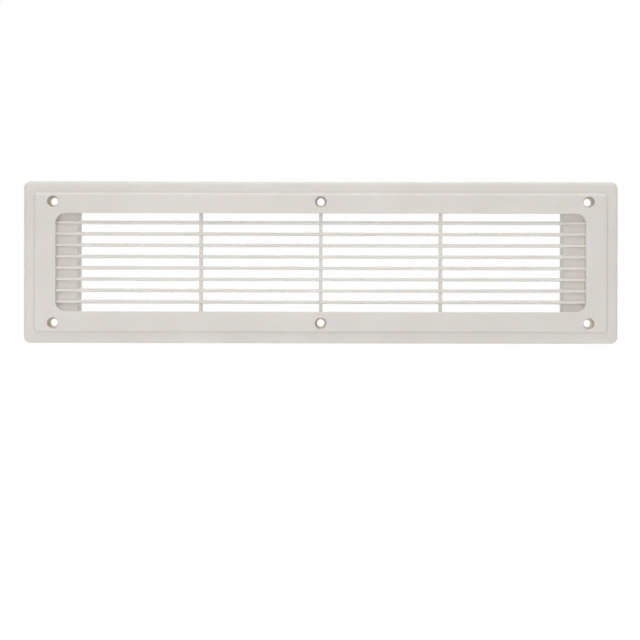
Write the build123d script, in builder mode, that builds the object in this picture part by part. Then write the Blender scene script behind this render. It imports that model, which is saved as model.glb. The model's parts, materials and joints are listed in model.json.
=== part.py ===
from build123d import *
from math import atan2, degrees
import os

# Louvred vent grille, moulded in one piece
# A stepped flange lies on a wall. Fixed blades and upright ribs cross its round-cornered opening, a
# shelf closes each end of the opening behind the blades, and a rectangular collar reaches back
# through the wall's cut-out.
# Sizes are in millimetres. The wall is the plane Y = 0, the seen side faces -Y and +Z is up.
# The origin is the centre of the screw pattern, on the wall. A rise or level is measured from the
# wall towards the viewer, and a recess from the panel's face towards the wall.

# Flange: an outer band with a rounded rim, and a raised panel with sloping sides inside it
overall_width = 419.0
overall_height = 114.3
wall = 2.2
side_band_width = 7.3
long_band_width = 7.7
band_rise = 6.0
band_edge_radius = 2.6
corner_radius = 4.6
panel_rise = 9.0
panel_slope = 1.5
panel_corner_radius = 1.5
panel_edge_radius = 1.2

# Air opening in the panel, and the shelf behind each end of it
side_margin = 22.95
top_margin = 22.6
opening_radius = 7.0
opening_edge_radius = 0.6
shelf_length = 15.0
shelf_level = 2.0
shelf_edge_radius = 1.5

# Collar behind the flange, set back from the opening's long edges
collar_setback = 1.5
collar_wall = 2.0
collar_length = 12.0
collar_corner_radius = 3.0
collar_end_radius = 0.6

# Screw wells: four at the corners and two at the middle
screw_inset_x = 21.1
screw_inset_z = 14.4
screw_hole_diameter = 5.2
well_diameter = 8.0
well_wall = 2.0
well_floor = 2.4
well_mouth_radius = 0.4

# Blades along the opening, thinner towards a nose that leans back at its top
blade_pitch = 8.0
blade_recess = 3.3
blade_nose_height = 1.7
blade_back_thickness = 2.7
blade_nose_lean = 1.2
blade_top_slope = 0.3
blade_nose_radius = 0.3

# Upright ribs behind the blades' noses
rib_count = 3
rib_pitch = 84.65
rib_recess = 5.0
rib_thickness = 2.4
rib_edge_radius = 0.4

# Sizes that follow from the ones above
panel_width = overall_width - 2 * side_band_width
panel_height = overall_height - 2 * long_band_width
panel_base_radius = panel_corner_radius + panel_slope
panel_step = panel_rise - band_rise
panel_taper = degrees(atan2(panel_slope, panel_step))
panel_underside = panel_rise - wall
opening_width = overall_width - 2 * side_margin
opening_height = overall_height - 2 * top_margin
duct_width = opening_width - 2 * shelf_length
duct_height = opening_height + 2 * collar_setback
collar_width = duct_width + 2 * collar_wall
collar_height = duct_height + 2 * collar_wall
screw_spacing_x = overall_width - 2 * screw_inset_x
screw_spacing_z = overall_height - 2 * screw_inset_z
blade_rise = panel_rise - blade_recess
blade_count = int((opening_height - blade_back_thickness) // blade_pitch)
blade_length = opening_width + wall
nose_top = blade_back_thickness / 2 - blade_top_slope
rib_rise = panel_rise - rib_recess
rib_length = duct_height + collar_wall


def rounded(width, height, radius, level):
    """A rounded rectangle about the origin, on the plane at that level."""
    with BuildSketch(Plane.XZ.offset(level)) as outline:
        RectangleRounded(width, height, radius)
    return outline.sketch


def screw_circles(diameter, level):
    """A circle at each of the six screws, on the plane at that level."""
    with BuildSketch(Plane.XZ.offset(level)) as circles:
        with GridLocations(screw_spacing_x, screw_spacing_z, 2, 2):
            Circle(diameter / 2)
        with GridLocations(0, screw_spacing_z, 1, 2):
            Circle(diameter / 2)
    return circles.sketch


def front_edges(part):
    """The edges around the part's foremost face."""
    return part.faces().sort_by(Axis.Y)[0].edges()


with BuildPart() as grille:
    # Outer band, with its rim rounded at the front
    extrude(rounded(overall_width, overall_height, corner_radius, 0), amount=band_rise)
    fillet(front_edges(grille), radius=band_edge_radius)

    # Raised panel
    extrude(
        rounded(panel_width, panel_height, panel_base_radius, band_rise),
        amount=panel_step,
        taper=panel_taper,
    )
    fillet(front_edges(grille), radius=panel_edge_radius)

    # The back is cored out to the wall thickness, under the band and then under the panel
    extrude(
        rounded(
            overall_width - 2 * wall, overall_height - 2 * wall, corner_radius - wall, 0
        ),
        amount=band_rise - wall,
        mode=Mode.SUBTRACT,
    )
    extrude(
        rounded(
            panel_width - 2 * wall, panel_height - 2 * wall, panel_base_radius, band_rise - wall
        ),
        amount=panel_step,
        taper=panel_taper,
        mode=Mode.SUBTRACT,
    )

    # Bodies of the screw wells, the recess behind the opening, and the collar
    extrude(screw_circles(well_diameter + 2 * well_wall, 0), amount=panel_underside)
    extrude(
        rounded(
            opening_width + 2 * wall, opening_height + 2 * wall, opening_radius + wall, 0
        ),
        amount=panel_underside,
    )
    extrude(
        rounded(collar_width, collar_height, collar_corner_radius, -collar_length),
        amount=collar_length + panel_underside,
    )

    # The opening goes down to the shelves, and the duct runs from there out of the collar
    extrude(
        rounded(opening_width, opening_height, opening_radius, shelf_level),
        amount=panel_rise - shelf_level,
        mode=Mode.SUBTRACT,
    )
    with BuildSketch(Plane.XZ.offset(-collar_length)):
        Rectangle(duct_width, duct_height)
    extrude(amount=collar_length + panel_underside, mode=Mode.SUBTRACT)

    # Shelf ends rounded into the duct, and the collar's end edges eased
    shelf_edges = grille.edges().filter_by(Axis.Z).filter_by_position(Axis.Y, -shelf_level, -shelf_level)
    fillet(shelf_edges.sort_by(Axis.X)[1:3], radius=shelf_edge_radius)
    fillet(grille.faces().sort_by(Axis.Y)[-1].outer_wire().edges(), radius=collar_end_radius)

    # Rounded lip around the opening
    lip = grille.faces().sort_by(Axis.Y)[0].inner_wires()[0]
    fillet(lip.edges(), radius=opening_edge_radius)

    # Screw wells with a clear hole through their floors
    with Locations(Plane.XZ.offset(panel_rise)):
        with GridLocations(screw_spacing_x, screw_spacing_z, 2, 2):
            CounterBoreHole(screw_hole_diameter / 2, well_diameter / 2, panel_rise - well_floor)
        with GridLocations(0, screw_spacing_z, 1, 2):
            CounterBoreHole(screw_hole_diameter / 2, well_diameter / 2, panel_rise - well_floor)
    mouths = grille.faces().sort_by(Axis.Y)[0].edges().filter_by(lambda edge: edge.is_closed)
    fillet(mouths, radius=well_mouth_radius)

    # Blades, from end wall to end wall
    with BuildSketch(Plane.YZ) as blade_sections:
        with GridLocations(0, blade_pitch, 1, blade_count):
            Polygon(
                (0, -blade_back_thickness / 2),
                (0, blade_back_thickness / 2),
                (blade_nose_lean - blade_rise, nose_top),
                (-blade_rise, nose_top - blade_nose_height),
                align=None,
            )
        nose_corners = blade_sections.vertices().group_by(Axis.X)[0:2]
        fillet(nose_corners[0] + nose_corners[1], radius=blade_nose_radius)
    extrude(amount=blade_length / 2, both=True)

    # Ribs, from one long wall of the collar to the other
    with BuildSketch(Plane.XY) as rib_sections:
        with GridLocations(rib_pitch, 0, rib_count, 1):
            Rectangle(rib_thickness, rib_rise, align=(Align.CENTER, Align.MAX))
        fillet(rib_sections.vertices().group_by(Axis.Y)[0], radius=rib_edge_radius)
    extrude(amount=rib_length / 2, both=True)

grille.part.label = "vent_grille"
os.makedirs("parts", exist_ok=True)
export_step(grille.part, "parts/vent_grille.step")
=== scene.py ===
"""Looks of a louvred vent grille, moulded in one piece of warm white plastic.

Units are metres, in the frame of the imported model: +X along the blades, -Y towards the viewer and
+Z up.
"""
import json
import math

import bpy
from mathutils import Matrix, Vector


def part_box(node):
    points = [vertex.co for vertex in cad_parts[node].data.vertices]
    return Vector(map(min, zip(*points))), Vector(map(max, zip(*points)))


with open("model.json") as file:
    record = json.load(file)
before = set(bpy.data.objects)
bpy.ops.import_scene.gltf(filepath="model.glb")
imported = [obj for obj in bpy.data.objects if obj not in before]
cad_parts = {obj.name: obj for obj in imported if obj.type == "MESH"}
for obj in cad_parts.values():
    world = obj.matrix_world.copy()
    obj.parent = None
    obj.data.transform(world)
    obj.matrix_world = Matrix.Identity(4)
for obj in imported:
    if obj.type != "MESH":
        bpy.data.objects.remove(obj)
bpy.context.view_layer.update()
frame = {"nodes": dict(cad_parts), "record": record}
scene = bpy.context.scene

# Photograph, in pixels
PHOTO_WIDTH = 640
PHOTO_CENTRE = 320
GRILLE_CENTRE_X = 320.8
GRILLE_CENTRE_Y = 262.6
GRILLE_PIXELS = 593.6

# Camera
CAMERA_DISTANCE = 0.950
CAMERA_HEIGHT = 0.010
CAMERA_ROLL = math.radians(-0.11)
SENSOR_WIDTH = 36.0
CLIP_START = 0.01

# Grille
low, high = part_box("vent_grille")
FACE_Y = low.y
CENTRE = (low + high) / 2
LENGTH = high.x - low.x
OUTLINE_BEHIND_FACE = 0.005

# Screw wells
MM = 0.001
SCREW_MOUNTS = ("corner_screws", "middle_screws")
WELL_RADIUS = 0.004
# Painted shade in the screw wells: a yellower, slightly darker tint multiplied into the wells'
# walls, standing in for the warm shade inside them
WELL_PAINTED_SHADE = (1.0, 0.96, 0.87, 1.0)
WELL_PAINTED_SHADE_ENDS_AT_RADIUS = 1.06 * WELL_RADIUS
WELL_PAINTED_SHADE_ENDS_AT_Y = -0.001

# Plastic
SWIRLS_PER_METRE = 22.0
SWIRL_DARK_AT = 0.32
SWIRL_LIGHT_AT = 0.68
DARK_TINT = (0.744, 0.724, 0.686, 1.0)
LIGHT_TINT = (0.782, 0.764, 0.731, 1.0)
GLOSS_PATCHES_PER_METRE = 60.0
ROUGHNESS_LEAST = 0.42
ROUGHNESS_MOST = 0.54
GRAINS_PER_METRE = 2600.0
GRAIN_STRENGTH = 0.35
GRAIN_DEPTH = 0.00005
FLOW_MARKS_PER_METRE = 70.0
FLOW_STRENGTH = 0.25
FLOW_DEPTH = 0.0004
SCATTER_WEIGHT = 0.7
SCATTER_RADIUS = (1.0, 0.8, 0.6)
SCATTER_SCALE = 0.002

# Studio
FLOOR_DROP = 0.30
FLOOR_SIZE = 8.0
FLOOR_COLOR = (0.92, 0.92, 0.915, 1.0)
FLOOR_FILL = 0.85
AMBIENT = 0.28
WHITE = (1.0, 1.0, 1.0, 1.0)

# Soft lights: name, place, size, power in watts, and the point that each one faces
STRAIGHT_UP = Vector((0.0, -0.55, 1.0))
SOFTBOXES = (
    ("front", (-0.20, -1.75, 0.10), 0.9, 3.7, CENTRE),
    ("key", (-0.15, -1.40, 0.80), 0.9, 5.3, CENTRE),
    ("top", (0.0, -0.80, 1.35), 0.9, 4.6, CENTRE),
    ("over", (0.0, 0.10, 1.55), 0.9, 6.2, CENTRE),
    ("left", (-1.50, -0.15, 0.15), 0.9, 1.5, CENTRE),
    ("right", (1.50, -0.15, 0.15), 0.9, 1.5, CENTRE),
    ("below", (0.0, -0.55, -0.34), 0.8, 0.4, STRAIGHT_UP),
    ("back", (0.0, 1.30, 0.75), 0.6, 6.0, CENTRE),
)

# Places of the colour sockets on a mix node, which share their names with the other kinds
MIX_A = 6
MIX_B = 7
MIX_RESULT = 2


def node_tree(owner):
    """The owner's node tree, emptied."""
    owner.use_nodes = True
    tree = owner.node_tree
    tree.nodes.clear()
    return tree


def add_node(tree, kind, inputs=None, **settings):
    """A new node with its settings and input values set, each input by its name or place."""
    node = tree.nodes.new(kind)
    for name, value in settings.items():
        setattr(node, name, value)
    for name, value in (inputs or {}).items():
        node.inputs[name].default_value = value
    return node


def seen_directly(tree):
    """1 on camera, glossy and transmission rays, and 0 on the rays that carry diffuse light."""
    path = add_node(tree, "ShaderNodeLightPath")
    first = add_node(tree, "ShaderNodeMath", operation="MAXIMUM")
    both = add_node(tree, "ShaderNodeMath", operation="MAXIMUM")
    tree.links.new(path.outputs["Is Camera Ray"], first.inputs[0])
    tree.links.new(path.outputs["Is Glossy Ray"], first.inputs[1])
    tree.links.new(first.outputs[0], both.inputs[0])
    tree.links.new(path.outputs["Is Transmission Ray"], both.inputs[1])
    return both.outputs[0]


def screw_place(name):
    """Where the mount's screws stand, in the quarter with X and Z positive."""
    mount = next(mount for mount in frame["record"]["mounts"] if mount["name"] == name)
    dims = mount["dims"]
    return dims.get("spacing_x_mm", 0) / 2 * MM, 0, dims["spacing_y_mm"] / 2 * MM


def painted_well_shade_mask(tree, place):
    """1 in the six screw wells, where the painted shade goes, and 0 elsewhere."""
    links = tree.links
    # The wells lie evenly about the origin, so one quarter stands for all four
    quarter = add_node(tree, "ShaderNodeVectorMath", operation="ABSOLUTE")
    flat = add_node(tree, "ShaderNodeVectorMath", {1: (1, 0, 1)}, operation="MULTIPLY")
    links.new(place, quarter.inputs[0])
    links.new(quarter.outputs[0], flat.inputs[0])
    nearest = add_node(tree, "ShaderNodeMath", operation="MINIMUM")
    for number, mount in enumerate(SCREW_MOUNTS):
        away = add_node(tree, "ShaderNodeVectorMath", {1: screw_place(mount)}, operation="DISTANCE")
        links.new(flat.outputs[0], away.inputs[0])
        links.new(away.outputs["Value"], nearest.inputs[number])

    fade = {
        "From Min": WELL_RADIUS,
        "From Max": WELL_PAINTED_SHADE_ENDS_AT_RADIUS,
        "To Min": 1.0,
        "To Max": 0.0,
    }
    within = add_node(tree, "ShaderNodeMapRange", fade)
    axes = add_node(tree, "ShaderNodeSeparateXYZ")
    # The back of each well gets no painted shade
    in_front = add_node(tree, "ShaderNodeMath", {1: WELL_PAINTED_SHADE_ENDS_AT_Y}, operation="LESS_THAN")
    both = add_node(tree, "ShaderNodeMath", operation="MULTIPLY")
    links.new(nearest.outputs[0], within.inputs["Value"])
    links.new(place, axes.inputs[0])
    links.new(axes.outputs["Y"], in_front.inputs[0])
    links.new(within.outputs["Result"], both.inputs[0])
    links.new(in_front.outputs[0], both.inputs[1])
    return both.outputs[0]


def moulded_plastic():
    """Warm white plastic: satin, with a fine eroded grain, slow swirls of tint and uneven gloss.

    The screw wells carry painted shade: a yellower, slightly darker tint than the open faces.
    """
    material = bpy.data.materials.new("moulded_plastic")
    tree = node_tree(material)
    links = tree.links
    place = add_node(tree, "ShaderNodeTexCoord")

    swirl = add_node(
        tree, "ShaderNodeTexNoise", {"Scale": SWIRLS_PER_METRE, "Detail": 3.0, "Roughness": 0.5}
    )
    tint = add_node(tree, "ShaderNodeValToRGB")
    dark, light = tint.color_ramp.elements
    dark.position = SWIRL_DARK_AT
    dark.color = DARK_TINT
    light.position = SWIRL_LIGHT_AT
    light.color = LIGHT_TINT
    # Painted shade: the warm tint multiplied into the colour inside the screw wells
    painted_well_shade = add_node(
        tree, "ShaderNodeMix", {MIX_B: WELL_PAINTED_SHADE}, data_type="RGBA", blend_type="MULTIPLY"
    )

    gloss_patches = add_node(
        tree, "ShaderNodeTexNoise", {"Scale": GLOSS_PATCHES_PER_METRE, "Detail": 2.0}
    )
    gloss = add_node(
        tree, "ShaderNodeMapRange", {"To Min": ROUGHNESS_LEAST, "To Max": ROUGHNESS_MOST}
    )

    grain = add_node(
        tree, "ShaderNodeTexNoise", {"Scale": GRAINS_PER_METRE, "Detail": 2.0, "Roughness": 0.6}
    )
    grain_bump = add_node(
        tree, "ShaderNodeBump", {"Strength": GRAIN_STRENGTH, "Distance": GRAIN_DEPTH}
    )
    flow = add_node(tree, "ShaderNodeTexNoise", {"Scale": FLOW_MARKS_PER_METRE, "Detail": 1.0})
    flow_bump = add_node(
        tree, "ShaderNodeBump", {"Strength": FLOW_STRENGTH, "Distance": FLOW_DEPTH}
    )

    shader_values = {
        "IOR": 1.5,
        "Specular IOR Level": 0.5,
        "Subsurface Weight": SCATTER_WEIGHT,
        "Subsurface Radius": SCATTER_RADIUS,
        "Subsurface Scale": SCATTER_SCALE,
    }
    shader = add_node(tree, "ShaderNodeBsdfPrincipled", shader_values)
    output = add_node(tree, "ShaderNodeOutputMaterial")

    for texture in (swirl, gloss_patches, grain, flow):
        links.new(place.outputs["Object"], texture.inputs["Vector"])
    links.new(swirl.outputs["Fac"], tint.inputs["Fac"])
    links.new(painted_well_shade_mask(tree, place.outputs["Object"]), painted_well_shade.inputs["Factor"])
    links.new(tint.outputs["Color"], painted_well_shade.inputs[MIX_A])
    links.new(painted_well_shade.outputs[MIX_RESULT], shader.inputs["Base Color"])
    links.new(gloss_patches.outputs["Fac"], gloss.inputs["Value"])
    links.new(gloss.outputs["Result"], shader.inputs["Roughness"])
    links.new(flow.outputs["Fac"], flow_bump.inputs["Height"])
    links.new(grain.outputs["Fac"], grain_bump.inputs["Height"])
    links.new(flow_bump.outputs["Normal"], grain_bump.inputs["Normal"])
    links.new(grain_bump.outputs["Normal"], shader.inputs["Normal"])
    links.new(shader.outputs["BSDF"], output.inputs["Surface"])
    return material


def floor_material():
    """Pale floor that a lens sees as white, and that still takes the grille's shadow."""
    material = bpy.data.materials.new("pale_floor")
    tree = node_tree(material)
    pale = add_node(tree, "ShaderNodeBsdfDiffuse", {"Color": FLOOR_COLOR})
    fill = add_node(tree, "ShaderNodeEmission", {"Color": WHITE})
    strength = add_node(tree, "ShaderNodeMath", {1: FLOOR_FILL}, operation="MULTIPLY")
    both = add_node(tree, "ShaderNodeAddShader")
    output = add_node(tree, "ShaderNodeOutputMaterial")
    tree.links.new(seen_directly(tree), strength.inputs[0])
    tree.links.new(strength.outputs[0], fill.inputs["Strength"])
    tree.links.new(pale.outputs[0], both.inputs[0])
    tree.links.new(fill.outputs[0], both.inputs[1])
    tree.links.new(both.outputs[0], output.inputs["Surface"])
    return material


def make_floor():
    """A wide pale floor well below the grille, which hangs upright as it does on its wall."""
    bpy.ops.mesh.primitive_plane_add(size=FLOOR_SIZE, location=(0, 0, low.z - FLOOR_DROP))
    floor = bpy.context.object
    floor.name = "floor"
    floor.data.materials.append(floor_material())


def make_world():
    """Even studio light from all round, with plain white behind whatever a lens sees."""
    world = bpy.data.worlds.new("studio")
    scene.world = world
    tree = node_tree(world)
    light = add_node(tree, "ShaderNodeBackground", {"Color": WHITE, "Strength": AMBIENT})
    white = add_node(tree, "ShaderNodeBackground", {"Color": WHITE, "Strength": 1.0})
    mix = add_node(tree, "ShaderNodeMixShader")
    output = add_node(tree, "ShaderNodeOutputWorld")
    tree.links.new(seen_directly(tree), mix.inputs["Fac"])
    tree.links.new(light.outputs[0], mix.inputs[1])
    tree.links.new(white.outputs[0], mix.inputs[2])
    tree.links.new(mix.outputs[0], output.inputs["Surface"])


def add_softbox(name, location, size, power, target):
    """A square soft light that faces the target."""
    data = bpy.data.lights.new(name, "AREA")
    data.shape = "SQUARE"
    data.size = size
    data.energy = power
    light = bpy.data.objects.new(name, data)
    scene.collection.objects.link(light)
    light.location = location
    light.rotation_euler = (target - Vector(location)).to_track_quat("-Z", "Y").to_euler()


def make_camera():
    """The photograph's view: square on, framed by shifting the lens and not by tilting it."""
    data = bpy.data.cameras.new("camera")
    camera = bpy.data.objects.new("camera", data)
    scene.collection.objects.link(camera)
    scene.camera = camera
    camera.location = (CENTRE.x, FACE_Y - CAMERA_DISTANCE, CAMERA_HEIGHT)
    camera.rotation_euler = (math.radians(90), CAMERA_ROLL, 0)
    focal_pixels = GRILLE_PIXELS / LENGTH * (CAMERA_DISTANCE + OUTLINE_BEHIND_FACE)
    horizon_y = GRILLE_CENTRE_Y - CAMERA_HEIGHT * focal_pixels / CAMERA_DISTANCE
    data.sensor_width = SENSOR_WIDTH
    data.lens = focal_pixels * SENSOR_WIDTH / PHOTO_WIDTH
    data.shift_x = (PHOTO_CENTRE - GRILLE_CENTRE_X) / PHOTO_WIDTH
    data.shift_y = (horizon_y - PHOTO_CENTRE) / PHOTO_WIDTH
    data.clip_start = CLIP_START


grille = frame["nodes"]["vent_grille"]
plastic = moulded_plastic()
for slot in grille.material_slots:
    slot.material = plastic

make_floor()
make_world()
for softbox in SOFTBOXES:
    add_softbox(*softbox)
make_camera()

scene.view_settings.view_transform = "Standard"
